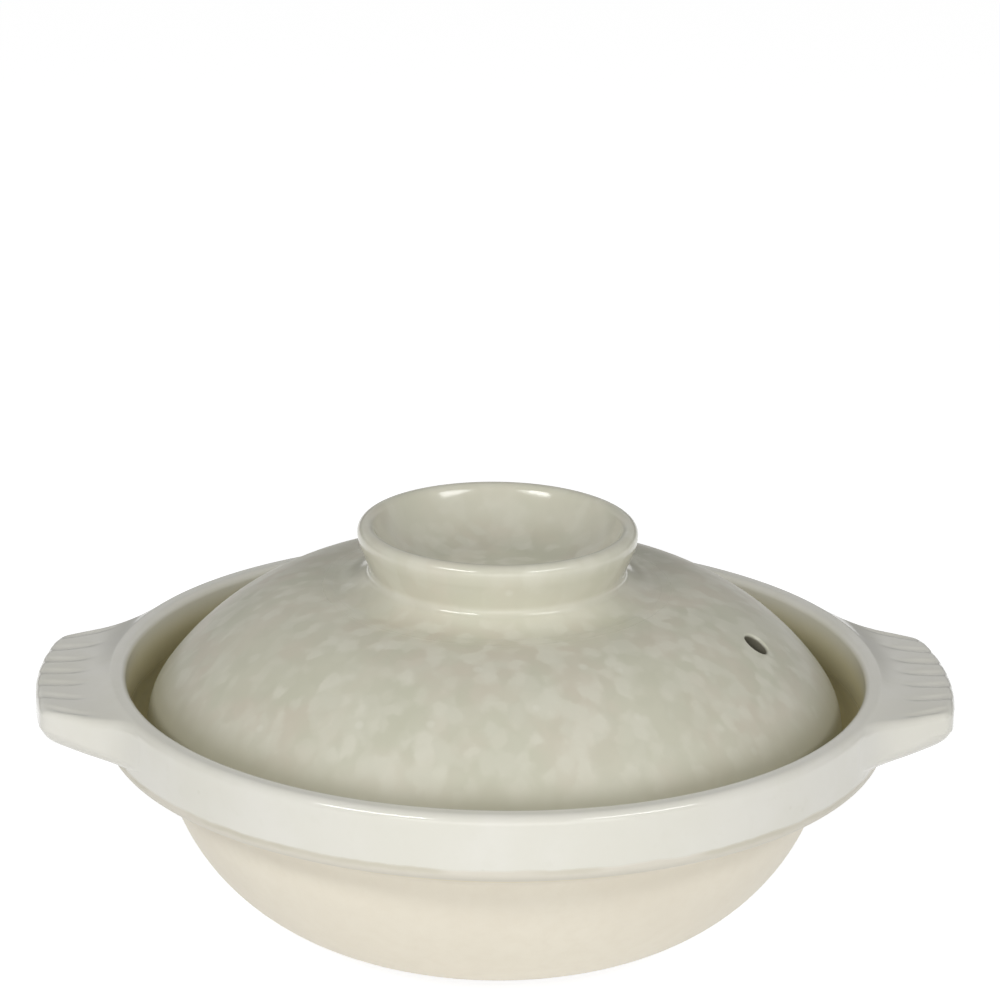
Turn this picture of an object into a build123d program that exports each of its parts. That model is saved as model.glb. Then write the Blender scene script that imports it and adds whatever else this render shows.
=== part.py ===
from build123d import *
import os
from math import acos, asin, atan2, cos, degrees, hypot, radians, sin, sqrt

# Donabe: a lidded clay casserole with two ear handles, in millimetres.
# +Z is up, the origin is on the table under the pot's axis, and the ears lie on +X and -X.
# Every round piece is a thrown form, so it is drawn as a meridian (radius, height) and revolved.

# Rim band, and the gallery inside it that the lid sits in
RIM_RADIUS = 133.0
RIM_WALL = 7.5
BAND_HEIGHT = 21.0
BAND_LOWER_ROUND = 1.5
CREST_OUTER_ROUND_SHARE = 0.667
CREST_FLAT = 0.1
SEAT_CORNER_FILLET = 4.0
SEAT_NOSE_ROUND = 2.5

# Body: one arc from the foot to the waist under the band, and its floor and foot ring
WAIST_HEIGHT = 56.0
WAIST_INSET = 19.8
WAIST_FILLET = 1.5
BAND_RISE = 10.0
SEAT_RISE = 9.0
FOOT_RADIUS = 64.5
FOOT_RING_WIDTH = 8.0
FOOT_RECESS_DEPTH = 2.0
FOOT_EDGE_ROUND = 1.5
BODY_START_SLOPE = 17.0
BODY_WALL = 7.5
FLOOR_THICKNESS = 7.5
FLOOR_BLEND = 24.0

# Ears, luted to the band
EAR_LENGTH = 22.8
EAR_ROOT_HALF_WIDTH = 53.0
EAR_TIP_HALF_WIDTH = 34.5
EAR_CORNER_RADIUS = 12.0
EAR_ROOT_BLEND = 26.0
EAR_BLEND_BITE = 0.9
EAR_TOP_DROP = 3.2
EAR_THICKNESS = 15.2
EAR_TOP_ROUND = 3.0
EAR_BOTTOM_ROUND = 4.5

# Combed flutes across each ear's top
FLUTE_COUNT = 7
FLUTE_MARGIN = 2.1
FLUTE_LENGTH = 20.0
FLUTE_DEPTH = 1.5
FLUTE_TOOL_RADIUS = 4.2
FLUTE_FAN_ANGLE = 27.0

# Lid dome: a tight arc at its edge, and a wide one that runs level under the knob
LID_CLEARANCE = 6.9
LID_WALL = 6.5
LID_EDGE_ARC_RADIUS = 24.0
LID_EDGE_HEIGHT = 2.0
LID_EDGE_ROUND = 1.6
LID_SHOULDER_SLOPE = 55.0
LID_LEVEL_RADIUS = 41.6

# Steam hole through the lid's flank
STEAM_HOLE_DIAMETER = 9.0
STEAM_HOLE_INSET = 28.6
STEAM_HOLE_AZIMUTH = -17.1
STEAM_HOLE_ROUND = 0.8

# Ring knob, and the low boss on the dome that centres it
KNOB_HEIGHT = 19.1
KNOB_LIP_RADIUS = 47.3
KNOB_LIP_ROUND = 3.0
KNOB_NECK_INSET = 7.5
KNOB_NECK_WALL = 6.8
KNOB_FOOT_FLARE = 6.8
KNOB_FOOT_EDGE = 0.5
KNOB_FOOT_FILLET = 2.3
KNOB_BORE_EDGE = 1.2
KNOB_HOLLOW_BULGE = 2.4
BOSS_CLEARANCE = 0.3
BOSS_HEIGHT = 1.0
BOSS_CROWN_RISE = 0.8

# How far a cutting tool runs past the surface that it cuts
OVERRUN = 10.0


def meridian_point(centre, radius, slope, side=1):
    """Point of an arc in a meridian where the surface slopes by that many degrees from level.
    side is 1 on an upper surface and -1 on a lower one."""
    return (centre[0] + radius * sin(radians(slope)), centre[1] + side * radius * cos(radians(slope)))


def meridian_arc(centre, radius, first_slope, last_slope, side=1):
    slopes = (first_slope, (first_slope + last_slope) / 2, last_slope)
    return ThreePointArc(*[meridian_point(centre, radius, slope, side) for slope in slopes])


def slope_at_radius(centre, radius, reach):
    """Slope of an arc where it is that far from the axis."""
    return degrees(asin((reach - centre[0]) / radius))


def slope_at_height(centre, radius, height):
    """Slope of a lower arc's outer half where it is that high."""
    return degrees(acos((centre[1] - height) / radius))


def arc_radius_through(start, start_slope, end):
    """Radius of the lower arc that leaves start at that slope and passes through end."""
    run, rise = end[0] - start[0], end[1] - start[1]
    return hypot(run, rise) / (2 * sin(atan2(rise, run) - radians(start_slope)))


def rounded(outline, corners):
    """Rounds the listed (point, radius) corners of a flat outline."""
    for point, radius in corners:
        corner = outline.vertices().sort_by_distance(point)[0]
        outline = fillet(corner, radius)
    return outline


def turned(outline):
    """Revolves a (radius, height) outline about the pot's axis."""
    return revolve(Plane.XZ * outline, Axis.Z)


# Shared places, worked out from the sizes above
band_lower_height = WAIST_HEIGHT + BAND_RISE
crest_height = band_lower_height + BAND_HEIGHT
crest_outer_round = CREST_OUTER_ROUND_SHARE * RIM_WALL
crest_inner_round = RIM_WALL - CREST_FLAT - crest_outer_round
seat_height = WAIST_HEIGHT + SEAT_RISE
rim_inner_radius = RIM_RADIUS - RIM_WALL
waist = (RIM_RADIUS - WAIST_INSET, WAIST_HEIGHT)
body_arc_radius = arc_radius_through((FOOT_RADIUS, 0), BODY_START_SLOPE, waist)
body_centre = (
    FOOT_RADIUS - body_arc_radius * sin(radians(BODY_START_SLOPE)),
    body_arc_radius * cos(radians(BODY_START_SLOPE)),
)
ear_reach = RIM_RADIUS + EAR_LENGTH
ear_top = crest_height - EAR_TOP_DROP
ear_bottom = ear_top - EAR_THICKNESS
lid_radius = rim_inner_radius - LID_CLEARANCE
lid_edge_centre = (lid_radius - LID_EDGE_ARC_RADIUS, seat_height + LID_EDGE_HEIGHT)
lid_arcs_apart = (lid_edge_centre[0] - LID_LEVEL_RADIUS) / sin(radians(LID_SHOULDER_SLOPE))
lid_flank_arc_radius = LID_EDGE_ARC_RADIUS + lid_arcs_apart
lid_flank_centre = (
    LID_LEVEL_RADIUS,
    lid_edge_centre[1] - lid_arcs_apart * cos(radians(LID_SHOULDER_SLOPE)),
)
knob_neck_radius = KNOB_LIP_RADIUS - KNOB_NECK_INSET
knob_bore_radius = knob_neck_radius - KNOB_NECK_WALL
knob_foot_radius = knob_neck_radius + KNOB_FOOT_FLARE
knob_seat_slope = slope_at_radius(lid_flank_centre, lid_flank_arc_radius, knob_foot_radius)
knob_seat_height = meridian_point(lid_flank_centre, lid_flank_arc_radius, knob_seat_slope)[1]


def pot_bowl():
    """Body, foot ring, rim band and lid gallery, thrown in one."""
    inner_arc_radius = body_arc_radius - BODY_WALL
    waist_slope = slope_at_height(body_centre, body_arc_radius, WAIST_HEIGHT)
    nose_slope = slope_at_height(body_centre, inner_arc_radius, seat_height)
    nose = meridian_point(body_centre, inner_arc_radius, nose_slope, -1)
    floor_height = FOOT_RECESS_DEPTH + FLOOR_THICKNESS
    floor_slope = slope_at_height(body_centre, inner_arc_radius, floor_height)
    floor_edge = meridian_point(body_centre, inner_arc_radius, floor_slope, -1)
    recess_radius = FOOT_RADIUS - FOOT_RING_WIDTH
    recess_top_radius = recess_radius - FOOT_RECESS_DEPTH
    outside = [
        Line((0, FOOT_RECESS_DEPTH), (recess_top_radius, FOOT_RECESS_DEPTH)),
        Line((recess_top_radius, FOOT_RECESS_DEPTH), (recess_radius, 0)),
        Line((recess_radius, 0), (FOOT_RADIUS, 0)),
        meridian_arc(body_centre, body_arc_radius, BODY_START_SLOPE, waist_slope, -1),
        Line(waist, (RIM_RADIUS, band_lower_height)),
        Line((RIM_RADIUS, band_lower_height), (RIM_RADIUS, crest_height)),
        Line((RIM_RADIUS, crest_height), (rim_inner_radius, crest_height)),
    ]
    inside = [
        Line((rim_inner_radius, crest_height), (rim_inner_radius, seat_height)),
        Line((rim_inner_radius, seat_height), nose),
        meridian_arc(body_centre, inner_arc_radius, nose_slope, floor_slope, -1),
        Line(floor_edge, (0, floor_height)),
        Line((0, floor_height), (0, FOOT_RECESS_DEPTH)),
    ]
    corners = [
        ((FOOT_RADIUS, 0), FOOT_EDGE_ROUND),
        (waist, WAIST_FILLET),
        ((RIM_RADIUS, band_lower_height), BAND_LOWER_ROUND),
        ((RIM_RADIUS, crest_height), crest_outer_round),
        ((rim_inner_radius, crest_height), crest_inner_round),
        ((rim_inner_radius, seat_height), SEAT_CORNER_FILLET),
        (nose, SEAT_NOSE_ROUND),
        (floor_edge, FLOOR_BLEND),
    ]
    return turned(rounded(make_face(outside + inside), corners))


def band_plug():
    """The band's outside as a solid plug, the shape that each ear's root is pressed against.
    It runs on below the band, so that a deep ear's root is cut all the way down."""
    height = BAND_HEIGHT + OVERRUN
    outline = Pos(RIM_RADIUS / 2, crest_height - height / 2) * Rectangle(RIM_RADIUS, height)
    return turned(rounded(outline, [((RIM_RADIUS, crest_height), crest_outer_round)]))


def flute_tools():
    """Round tools that comb the flutes: each enters the top at its inner end and runs out,
    at full depth, through the ear's tip. Towards the ear's sides they turn along its edges."""
    tools = []
    dip = degrees(atan2(FLUTE_DEPTH, FLUTE_LENGTH))
    middle = (FLUTE_COUNT - 1) / 2
    for index in range(FLUTE_COUNT):
        share = (index - middle) / middle
        offset = share * (EAR_TIP_HALF_WIDTH - FLUTE_MARGIN)
        tip_x = sqrt(ear_reach**2 - offset**2)
        turn = -FLUTE_FAN_ANGLE * share * abs(share)
        tool = Rot(0, 90, 0) * Cylinder(FLUTE_TOOL_RADIUS, 2 * (FLUTE_LENGTH + OVERRUN))
        place = Pos(tip_x, offset, ear_top + FLUTE_TOOL_RADIUS - FLUTE_DEPTH)
        tools.append(place * Rot(0, 0, turn) * Rot(0, dip, 0) * tool)
    return tools


def ear():
    """Ear on +X: a slab with converging sides, its tip on a circle round the pot's axis.
    Its plan runs into a disc just inside the band, so its root flares out along the band.
    The sides are drawn twice as long, to start well inside that disc."""
    tip_x = sqrt(ear_reach**2 - EAR_TIP_HALF_WIDTH**2)
    root_x = sqrt(RIM_RADIUS**2 - EAR_ROOT_HALF_WIDTH**2)
    near_root, far_root = (root_x, -EAR_ROOT_HALF_WIDTH), (root_x, EAR_ROOT_HALF_WIDTH)
    near_tip, far_tip = (tip_x, -EAR_TIP_HALF_WIDTH), (tip_x, EAR_TIP_HALF_WIDTH)
    inner_x, inner_y = 2 * root_x - tip_x, 2 * EAR_ROOT_HALF_WIDTH - EAR_TIP_HALF_WIDTH
    slab = make_face(
        [
            Line((inner_x, inner_y), (inner_x, -inner_y)),
            Line((inner_x, -inner_y), near_tip),
            ThreePointArc(near_tip, (ear_reach, 0), far_tip),
            Line(far_tip, (inner_x, inner_y)),
        ]
    )
    slab = rounded(slab, [(near_tip, EAR_CORNER_RADIUS), (far_tip, EAR_CORNER_RADIUS)])
    disc_radius = RIM_RADIUS - EAR_BLEND_BITE
    plan = rounded(slab + Circle(disc_radius), [(near_root, EAR_ROOT_BLEND), (far_root, EAR_ROOT_BLEND)])
    block = Pos(0, 0, ear_bottom) * extrude(plan, EAR_THICKNESS)
    block = fillet(block.faces().sort_by(Axis.Z)[-1].edges(), EAR_TOP_ROUND)
    block = fillet(block.faces().sort_by(Axis.Z)[0].edges(), EAR_BOTTOM_ROUND)
    return (block - band_plug() - flute_tools()).solid()


def steam_hole(dome):
    """Pierces the dome's flank square to its surface and rounds both lips of the hole."""
    reach = lid_radius - STEAM_HOLE_INSET
    slope = slope_at_radius(lid_flank_centre, lid_flank_arc_radius, reach)
    height = meridian_point(lid_flank_centre, lid_flank_arc_radius, slope)[1]
    mouth = Rot(0, 0, STEAM_HOLE_AZIMUTH) * Pos(reach, 0, height) * Rot(0, slope, 0)
    dome -= mouth * Cylinder(STEAM_HOLE_DIAMETER / 2, 2 * (LID_WALL + OVERRUN))
    lips = [
        edge
        for edge in dome.edges()
        if edge.is_closed and (edge.center() - mouth.position).length < LID_WALL + STEAM_HOLE_DIAMETER
    ]
    return fillet(lips, STEAM_HOLE_ROUND)


def lid_dome():
    """Dome with a rolled edge that stands on the gallery, and a turned seat for the knob."""
    wall_inside = lid_radius - LID_WALL
    inner_edge_arc, inner_flank_arc = LID_EDGE_ARC_RADIUS - LID_WALL, lid_flank_arc_radius - LID_WALL
    ceiling_height = lid_flank_centre[1] + inner_flank_arc
    boss_radius = knob_bore_radius - BOSS_CLEARANCE
    boss_edge_height = knob_seat_height + BOSS_HEIGHT
    boss_top_height = boss_edge_height + BOSS_CROWN_RISE
    crown_arc_radius = (boss_radius**2 + BOSS_CROWN_RISE**2) / (2 * BOSS_CROWN_RISE)
    crown_centre = (0, boss_top_height - crown_arc_radius)
    boss_edge_slope = slope_at_radius(crown_centre, crown_arc_radius, boss_radius)
    outside = [
        meridian_arc(crown_centre, crown_arc_radius, 0, boss_edge_slope),
        Line((boss_radius, boss_edge_height), (boss_radius, knob_seat_height)),
        Line((boss_radius, knob_seat_height), (knob_foot_radius, knob_seat_height)),
        meridian_arc(lid_flank_centre, lid_flank_arc_radius, knob_seat_slope, LID_SHOULDER_SLOPE),
        meridian_arc(lid_edge_centre, LID_EDGE_ARC_RADIUS, LID_SHOULDER_SLOPE, 90),
        Line((lid_radius, lid_edge_centre[1]), (lid_radius, seat_height)),
        Line((lid_radius, seat_height), (wall_inside, seat_height)),
    ]
    inside = [
        Line((wall_inside, seat_height), (wall_inside, lid_edge_centre[1])),
        meridian_arc(lid_edge_centre, inner_edge_arc, 90, LID_SHOULDER_SLOPE),
        meridian_arc(lid_flank_centre, inner_flank_arc, LID_SHOULDER_SLOPE, 0),
        Line((LID_LEVEL_RADIUS, ceiling_height), (0, ceiling_height)),
        Line((0, ceiling_height), (0, boss_top_height)),
    ]
    corners = [
        ((lid_radius, seat_height), LID_EDGE_ROUND),
        ((wall_inside, seat_height), LID_EDGE_ROUND),
    ]
    return steam_hole(turned(rounded(make_face(outside + inside), corners)))


def lid_knob():
    """Ring knob: a flared collar with a rolled lip, open on top, standing on the dome's seat."""
    lip_height = knob_seat_height + KNOB_HEIGHT - KNOB_LIP_ROUND
    lip_middle = KNOB_LIP_RADIUS - KNOB_LIP_ROUND
    lip_inside = (lip_middle - KNOB_LIP_ROUND, lip_height)
    toe = (knob_neck_radius, knob_seat_height + KNOB_FOOT_EDGE)
    wall_rise = lip_height - toe[1]
    wall_arc_radius = (KNOB_NECK_INSET**2 + wall_rise**2) / (2 * KNOB_NECK_INSET)
    wall_centre = (KNOB_LIP_RADIUS - wall_arc_radius, lip_height)
    toe_slope = slope_at_radius(wall_centre, wall_arc_radius, knob_neck_radius)
    bore_edge = (knob_bore_radius, knob_seat_height + KNOB_BORE_EDGE)
    outline = [
        ThreePointArc(lip_inside, (lip_middle, lip_height + KNOB_LIP_ROUND), (KNOB_LIP_RADIUS, lip_height)),
        meridian_arc(wall_centre, wall_arc_radius, 90, toe_slope, -1),
        Line(toe, (knob_foot_radius, toe[1])),
        Line((knob_foot_radius, toe[1]), (knob_foot_radius, knob_seat_height)),
        Line((knob_foot_radius, knob_seat_height), (knob_bore_radius, knob_seat_height)),
        Line((knob_bore_radius, knob_seat_height), bore_edge),
        SagittaArc(bore_edge, lip_inside, -KNOB_HOLLOW_BULGE),
    ]
    return turned(rounded(make_face(outline), [(toe, KNOB_FOOT_FILLET)]))


def main():
    right_ear = ear()
    pieces = {
        "pot_bowl": pot_bowl(),
        "ear_right": right_ear,
        "ear_left": Rot(0, 0, 180) * right_ear,
        "lid_dome": lid_dome(),
        "lid_knob": lid_knob(),
    }
    os.makedirs("parts", exist_ok=True)
    for name, piece in pieces.items():
        piece.label = name
        export_step(piece, f"parts/{name}.step")
        box = piece.bounding_box()
        spans = " x ".join(f"{span:.1f}" for span in (box.size.X, box.size.Y, box.size.Z))
        print(f"{name}: {piece.volume / 1000:.1f} cm3, {spans} mm, from {box.min.Z:.1f} mm up")


main()
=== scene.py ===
# %% [markdown]
# # A lidded clay pot
# This script dresses a finished CAD model of a clay casserole: a round pot with two ears, and a domed
# lid with a ring knob. The CAD model is loaded first and is never changed. Each of its five parts gets
# a finer piece here, of the same size and in the same place, with a glaze made of shader nodes.
# Lengths are written in millimetres, as a potter would say them, and turned into metres at the end.

# %% Load the CAD model
import math

import bmesh
import bpy
import numpy as np
from mathutils import Matrix, Vector
from mathutils.bvhtree import BVHTree


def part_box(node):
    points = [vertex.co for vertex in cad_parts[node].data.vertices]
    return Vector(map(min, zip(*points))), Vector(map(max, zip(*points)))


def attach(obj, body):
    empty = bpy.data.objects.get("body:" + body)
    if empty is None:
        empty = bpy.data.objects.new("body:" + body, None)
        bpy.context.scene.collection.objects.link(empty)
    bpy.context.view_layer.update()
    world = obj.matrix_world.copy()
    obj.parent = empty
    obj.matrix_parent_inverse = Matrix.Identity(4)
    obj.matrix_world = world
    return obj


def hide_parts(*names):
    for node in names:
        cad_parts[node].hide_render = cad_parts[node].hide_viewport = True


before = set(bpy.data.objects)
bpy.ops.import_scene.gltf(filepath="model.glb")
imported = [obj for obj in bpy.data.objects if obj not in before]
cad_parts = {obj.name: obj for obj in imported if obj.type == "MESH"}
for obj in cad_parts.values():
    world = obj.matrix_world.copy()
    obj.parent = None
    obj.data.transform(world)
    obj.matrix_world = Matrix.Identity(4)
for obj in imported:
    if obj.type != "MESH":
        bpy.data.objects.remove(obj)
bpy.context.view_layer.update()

MM = 0.001

# %% [markdown]
# ## The camera
# The camera comes first, because every later choice is judged through it. It stands 1.2 m away and
# about 22 degrees up, looks down a little less steeply than that, and leans by one degree, as a
# hand-set tripod does. A long lens keeps the ellipses of rim and lid close to true.
# The pot is turned by two degrees to the camera, so the whole camera is turned round it instead.

# %% Set up the camera
EYE_DISTANCE, AIM_HEIGHT = 1.2, 0.060
EYE_RISE, PITCH, YAW = math.radians(21.95), math.radians(18.07), math.radians(0.03)
ROLL, TURN = math.radians(0.93), math.radians(-2.2)
LENS, SENSOR = 125.57, 36.0
CLIP_NEAR, CLIP_FAR = 0.05, 50


def put_in_scene(name, data):
    """Makes an object of a mesh, a lamp or a camera, and puts it in the scene."""
    thing = bpy.data.objects.new(name, data)
    bpy.context.scene.collection.objects.link(thing)
    return thing


def set_camera():
    """Places the camera from its angles, all turned together about the pot's axis."""
    back, up = EYE_DISTANCE * math.cos(EYE_RISE), EYE_DISTANCE * math.sin(EYE_RISE)
    eye = Vector((0, -back, AIM_HEIGHT + up))
    ahead = Vector((math.sin(YAW) * math.cos(PITCH), math.cos(YAW) * math.cos(PITCH), -math.sin(PITCH)))
    level = Vector((math.cos(YAW), -math.sin(YAW), 0))
    above = level.cross(ahead)
    across = math.cos(ROLL) * level + math.sin(ROLL) * above
    upright = math.cos(ROLL) * above - math.sin(ROLL) * level
    axes = Matrix((across, upright, -ahead)).transposed().to_4x4()
    camera = put_in_scene("studio_camera", bpy.data.cameras.new("studio_camera"))
    camera.data.lens, camera.data.sensor_width = LENS, SENSOR
    camera.data.clip_start, camera.data.clip_end = CLIP_NEAR, CLIP_FAR
    camera.matrix_world = Matrix.Rotation(TURN, 4, "Z") @ Matrix.Translation(eye) @ axes
    bpy.context.scene.camera = camera
    return camera


camera = set_camera()
print("camera at", [round(value, 4) for value in camera.matrix_world.translation])

# %% [markdown]
# ## Node sums that read like sums
# Both the glazes and the Geometry Nodes trees need arithmetic. Wiring Math nodes by hand hides what
# is worked out, so this small class wraps a socket and turns Python's own signs into Math nodes.
# `1 - mask` works too, because the swapped signs are there. Colours and vectors never go through it,
# because a Math node would turn a colour grey.

# %% A value that comes out of a node
def math_node(operation, swapped=False):
    """A method that makes one Math node. When swapped, its own value comes last."""

    def method(self, *others):
        values = (*others, self) if swapped else (self, *others)
        node = self.bench.node("ShaderNodeMath", dict(enumerate(values)), operation=operation)
        return Reading(self.bench, node.outputs[0])

    return method


class Reading:
    """A node's output, which can be added, multiplied and compared like a number."""

    def __init__(self, bench, socket):
        self.bench, self.socket = bench, socket

    __add__ = __radd__ = math_node("ADD")
    __sub__, __rsub__ = math_node("SUBTRACT"), math_node("SUBTRACT", swapped=True)
    __mul__ = __rmul__ = math_node("MULTIPLY")
    __truediv__, __rtruediv__ = math_node("DIVIDE"), math_node("DIVIDE", swapped=True)
    __abs__, root = math_node("ABSOLUTE"), math_node("SQRT")
    floor, nearest = math_node("FLOOR"), math_node("ROUND")
    at_least, at_most = math_node("MAXIMUM"), math_node("MINIMUM")

    def rising(self, low, high):
        """0 below low and 1 above high, with a soft step between."""
        sockets = {0: self, 1: low, 2: high}
        node = self.bench.node("ShaderNodeMapRange", sockets, interpolation_type="SMOOTHSTEP")
        return Reading(self.bench, node.outputs[0])


# %% [markdown]
# ## One bench for every node tree
# Shader trees and Geometry Nodes trees are wired in the same way. One method makes any node: it sets
# the node's own settings first, because some of them change which sockets there are, and then its
# sockets, from numbers or from other nodes' outputs.

# %% The bench that makes nodes
class Bench:
    """Makes and wires the nodes of one tree."""

    def __init__(self, tree):
        self.tree = tree

    def node(self, kind, sockets=None, **settings):
        node = self.tree.nodes.new(kind)
        for name, value in settings.items():
            if name == "stops":
                self.set_stops(node.color_ramp, value)
            else:
                setattr(node, name, value)
        for name, value in (sockets or {}).items():
            self.feed(node.inputs[name], value)
        return node

    def set_stops(self, ramp, stops):
        while len(ramp.elements) < len(stops):
            ramp.elements.new(1)
        for element, (place, colour) in zip(ramp.elements, stops):
            element.position, element.color = place, (*colour, 1)

    def feed(self, socket, value):
        if isinstance(value, Reading):
            value = value.socket
        if isinstance(value, bpy.types.NodeSocket):
            self.tree.links.new(value, socket)
        elif value is not None:
            socket.default_value = value

    def reading(self, node, output=0):
        return Reading(self, node.outputs[output])

    def split(self, vector):
        parts = self.node("ShaderNodeSeparateXYZ", {0: vector})
        return [self.reading(parts, index) for index in range(3)]

    def vector(self, operation, *values, output="Vector"):
        """A Vector Math node. Scale's factor is its fourth socket."""
        places = {"SCALE": (0, 3)}.get(operation, (0, 1))
        node = self.node("ShaderNodeVectorMath", dict(zip(places, values)), operation=operation)
        return node.outputs[output]

    def measure(self, operation, *values):
        """A Vector Math node that gives one number, such as a length."""
        return Reading(self, self.vector(operation, *values, output="Value"))


def bare_bench(owner):
    """Switches a material or a world to nodes and empties its tree."""
    owner.use_nodes = True
    owner.node_tree.nodes.clear()
    return Bench(owner.node_tree)


# %% [markdown]
# ## Turning on the wheel
# The pot, the lid and the knob are thrown forms. On a real wheel the potter's rib holds one outline
# while the clay turns past it, and the Geometry Nodes tree below does the same: it takes a drawn
# outline, lays it round the axis in equal steps and welds the seam and the poles.
# A Spin tool would do as well, but a tree keeps the number of steps as one named input.

# %% Build the wheel tree
WELD_DISTANCE, CUBIC_CM = 1e-6, 1e-6


def new_tree(name, inputs):
    """A Geometry Nodes group with a Geometry input, the named inputs and a Geometry output."""
    tree = bpy.data.node_groups.new(name, "GeometryNodeTree")
    tree.interface.new_socket("Geometry", in_out="INPUT", socket_type="NodeSocketGeometry")
    for label, kind in inputs:
        tree.interface.new_socket(label, in_out="INPUT", socket_type=kind)
    tree.interface.new_socket("Geometry", in_out="OUTPUT", socket_type="NodeSocketGeometry")
    bench = Bench(tree)
    return bench, bench.node("NodeGroupInput").outputs


def close_tree(bench, geometry, finish):
    """Ends a tree: real geometry, smooth shading and its glaze."""
    real = bench.node("GeometryNodeRealizeInstances", {0: geometry})
    smooth = bench.node("GeometryNodeSetShadeSmooth", {"Geometry": real.outputs[0]})
    glazed = bench.node("GeometryNodeSetMaterial", {"Geometry": smooth.outputs[0], "Material": finish})
    bench.node("NodeGroupOutput", {0: glazed.outputs[0]})
    return bench.tree


def wheel_tree():
    inputs = [("Steps", "NodeSocketInt"), ("Finish", "NodeSocketMaterial")]
    bench, given = new_tree("turn_on_the_wheel", inputs)
    outline, steps = given["Geometry"], Reading(bench, given["Steps"])
    size = bench.node("GeometryNodeAttributeDomainSize", {0: outline}, component="MESH")
    rows = bench.reading(size, "Point Count")
    sheet = bench.node("GeometryNodeMeshGrid", {"Vertices X": steps + 1, "Vertices Y": rows})
    index = bench.reading(bench.node("GeometryNodeInputIndex"))
    step = ((index + 0.5) / rows).floor()
    place = bench.node("GeometryNodeInputPosition").outputs[0]
    sockets = {"Geometry": outline, "Value": place, "Index": index - step * rows}
    drawn = bench.node("GeometryNodeSampleIndex", sockets, data_type="FLOAT_VECTOR", domain="POINT")
    angle = step / steps * math.tau
    sockets = {"Vector": drawn.outputs[0], "Angle": angle}
    turned = bench.node("ShaderNodeVectorRotate", sockets, rotation_type="Z_AXIS")
    sockets = {"Geometry": sheet.outputs["Mesh"], "Position": turned.outputs[0]}
    thrown = bench.node("GeometryNodeSetPosition", sockets)
    sockets = {"Geometry": thrown.outputs[0], "Distance": WELD_DISTANCE}
    welded = bench.node("GeometryNodeMergeByDistance", sockets)
    return close_tree(bench, welded.outputs[0], given["Finish"])


def run_tree(piece, tree, **inputs):
    """Runs a tree on a piece once and keeps the result as a plain mesh."""
    modifier = piece.modifiers.new(tree.name, "NODES")
    modifier.node_group = tree
    items = tree.interface.items_tree
    keys = {item.name: item.identifier for item in items if item.in_out == "INPUT"}
    for label, value in inputs.items():
        modifier[keys[label.replace("_", " ")]] = value
    piece.update_tag()
    graph = bpy.context.evaluated_depsgraph_get()
    plain = bpy.data.meshes.new_from_object(piece.evaluated_get(graph), depsgraph=graph)
    piece.modifiers.clear()
    piece.data = plain
    return piece


def face_outwards(piece):
    """Makes every face of a closed piece point out of the clay."""
    shape = bmesh.new()
    shape.from_mesh(piece.data)
    bmesh.ops.recalc_face_normals(shape, faces=shape.faces)
    shape.to_mesh(piece.data)
    open_edges = sum(not edge.is_manifold for edge in shape.edges)
    volume = shape.calc_volume() / CUBIC_CM
    print(f"{piece.name}: {len(shape.faces)} faces, {open_edges} open edges, {volume:.1f} cm3")
    shape.free()
    return piece


throw = wheel_tree()
print("wheel tree has", len(throw.nodes), "nodes")

# %% [markdown]
# ## Drawing an outline
# An outline is a chain of runs, straight or curved, as (radius, height) points. Clay has no sharp
# corners, so each corner is cut back and joined by a curve that leaves one run and meets the next
# without a kink. A round of radius r takes r times the tangent of half the turn from each run.
# The points are then spaced again: close together where the outline bends, wide where it is plain,
# and never changing abruptly, because long faces beside short ones show as ripples in a glossy glaze.

# %% Runs, corners and spacing
DRAWN_STEP, SHORTEST, GROWTH = 0.02, 0.12, 0.35


def straight(start, end):
    start, end = np.array(start, float), np.array(end, float)
    count = max(3, int(np.hypot(*(end - start)) / DRAWN_STEP))
    return np.linspace(start, end, count)


def curved(centre, radius, first, last):
    """Arc from one angle to the other, in degrees up from straight out."""
    count = max(3, int(radius * math.radians(abs(last - first)) / DRAWN_STEP))
    angles = np.radians(np.linspace(first, last, count))
    return np.array(centre) + radius * np.stack([np.cos(angles), np.sin(angles)], 1)


def bridge(first, second, radius):
    """Trims two runs that meet at a corner and returns them with the rounded corner between."""
    before, after = first[-1] - first[-2], second[1] - second[0]
    turn = math.acos(np.clip(before @ after / np.hypot(*before) / np.hypot(*after), -1, 1))
    reach = radius * math.tan(turn / 2)
    keep = np.hypot(*(first - first[-1]).T) >= reach
    left = np.hypot(*(second - second[0]).T) >= reach
    first, second = first[keep], second[left]
    start, end = first[-1], second[0]
    out, into = first[-1] - first[-2], second[1] - second[0]
    out, into = out / np.hypot(*out), into / np.hypot(*into)
    turn = math.acos(np.clip(out @ into, -1, 1))
    pull = 4 / 3 * math.tan(turn / 4) * np.hypot(*(end - start)) / (2 * math.sin(turn / 2))
    t = np.linspace(0, 1, 60)[:, None]
    corner = (1 - t) ** 3 * start + 3 * (1 - t) ** 2 * t * (start + pull * out)
    corner += 3 * (1 - t) * t**2 * (end - pull * into) + t**3 * end
    return first[:-1], corner, second[1:]


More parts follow.
